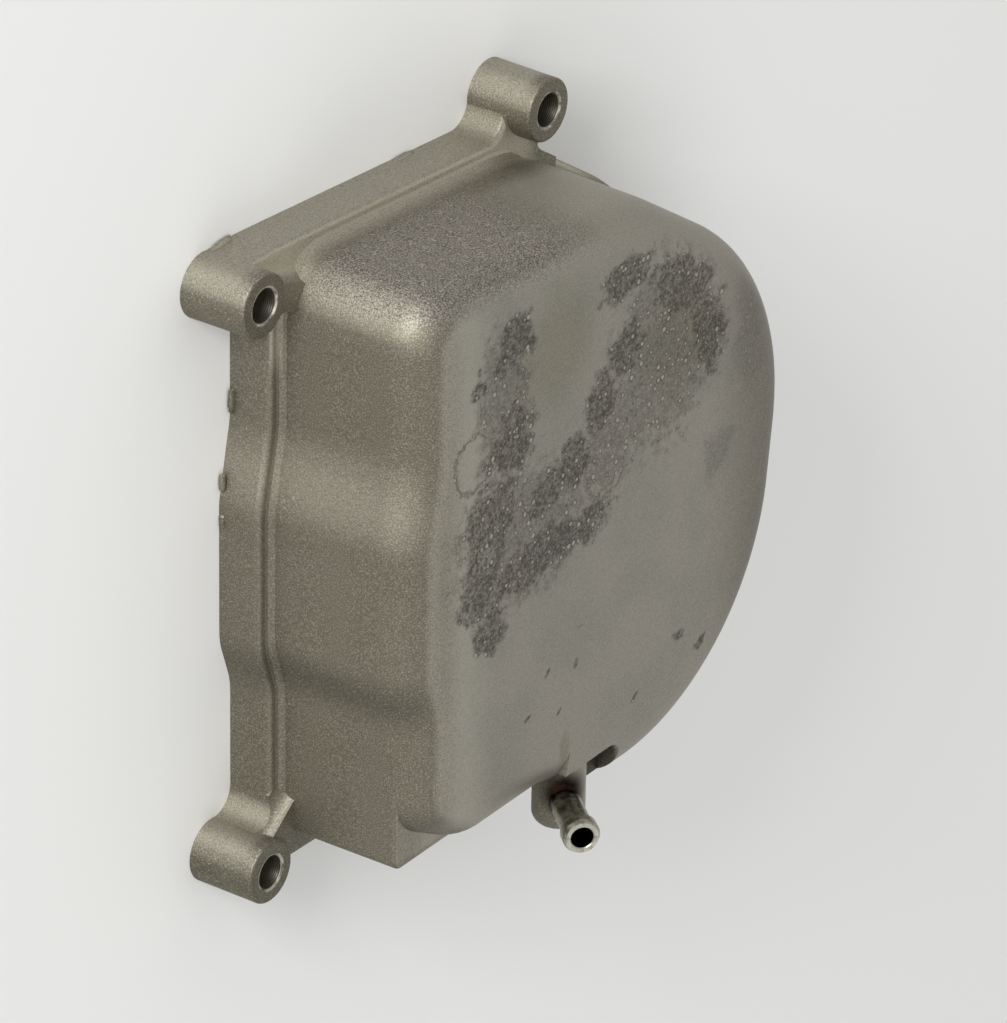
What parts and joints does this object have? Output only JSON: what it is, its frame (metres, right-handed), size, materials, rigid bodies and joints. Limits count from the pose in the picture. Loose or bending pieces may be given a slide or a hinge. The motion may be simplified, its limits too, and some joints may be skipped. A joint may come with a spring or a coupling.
{
  "type": "die cast housing",
  "caption": "Bare die cast engine cover: deep D-shaped dome on a thick flange with bolt ears, a side boss and a pressed-in breather tube.",
  "frame": {"origin": "middle of the bottom of the part's box, on the machined mating face", "axes": "Z = 0 is the mating face and +Z points out through the dome; +Y is towards the upper two bolt ears; +X is towards the round side of the dome"},
  "size_m": [0.1362, 0.1398, 0.0524],
  "materials": {
    "cast_aluminium": "as-cast, blasted, stained by age",
    "tube_steel": "bare steel, browned"
  },
  "bodies": {
    "root": {"cover_casting": "cast_aluminium", "breather_tube": "tube_steel"}
  },
  "joints": []
}
